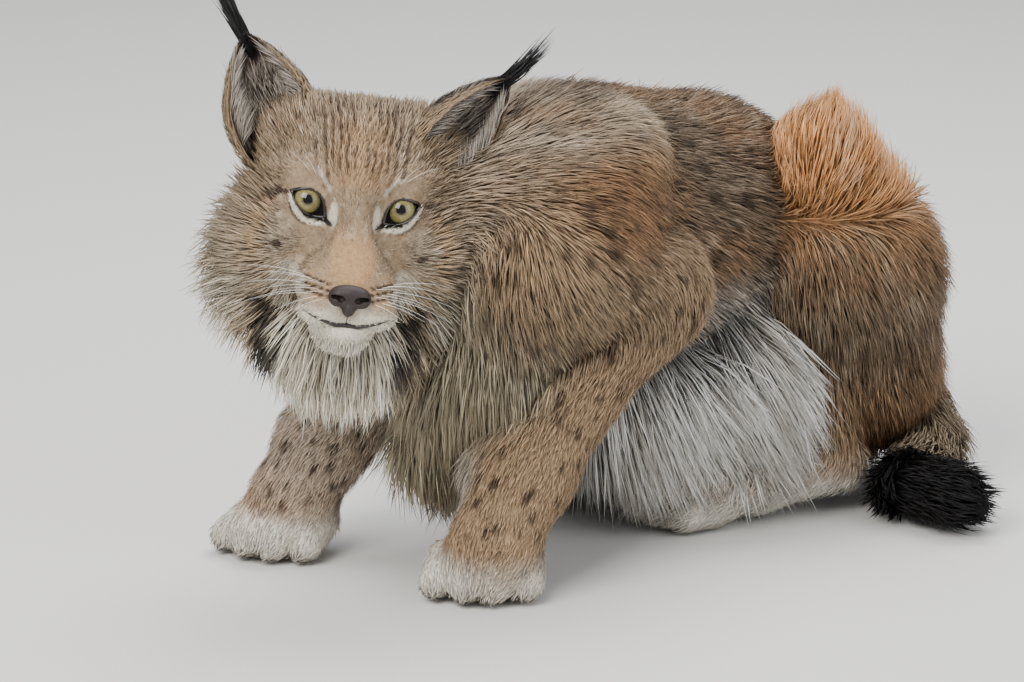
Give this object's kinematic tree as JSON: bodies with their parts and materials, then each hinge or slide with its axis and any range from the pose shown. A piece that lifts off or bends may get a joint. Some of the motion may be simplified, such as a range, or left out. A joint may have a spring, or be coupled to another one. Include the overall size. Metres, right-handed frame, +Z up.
{
  "type": "eurasian lynx",
  "caption": "Life-size still model of a crouching wild cat with tufted ears, cheek ruff, spotted coat and short black-tipped tail, for a museum display",
  "frame": {"origin": "centre of the bounding box in plan, on the floor the paws rest on", "axes": "+X to the viewer's right in the reference view, +Y away from that viewer, +Z up; the trunk points forward and to the viewer's left, about 40 degrees from -Y towards -X"},
  "size_m": [0.635, 0.5724, 0.4651],
  "materials": {
    "face_coat": "short grey-brown fur with a white ruff",
    "nose_leather": "moist dark skin",
    "eye": "clear glossy yellow-green",
    "ear_coat": "short fur, black at the tip",
    "body_coat": "dense mottled rusty grey fur",
    "leg_coat": "short buff fur with dark spots",
    "paw_coat": "short pale fur",
    "thigh_coat": "long orange-brown fur",
    "black_coat": "dense black fur"
  },
  "bodies": {
    "root": {"head": "face_coat", "nose": "nose_leather", "eye_left": "eye", "eye_right": "eye", "ear_left": "ear_coat", "ear_right": "ear_coat", "neck": "body_coat", "torso": "body_coat", "shoulder_left": "body_coat", "shoulder_right": "body_coat", "forearm_left": "leg_coat", "forearm_right": "leg_coat", "forepaw_left": "paw_coat", "forepaw_right": "paw_coat", "thigh_left": "thigh_coat", "thigh_right": "thigh_coat", "shank_left": "leg_coat", "shank_right": "leg_coat", "hindfoot_left": "paw_coat", "hindfoot_right": "paw_coat", "tail": "body_coat", "tail_tip": "black_coat"}
  },
  "joints": []
}
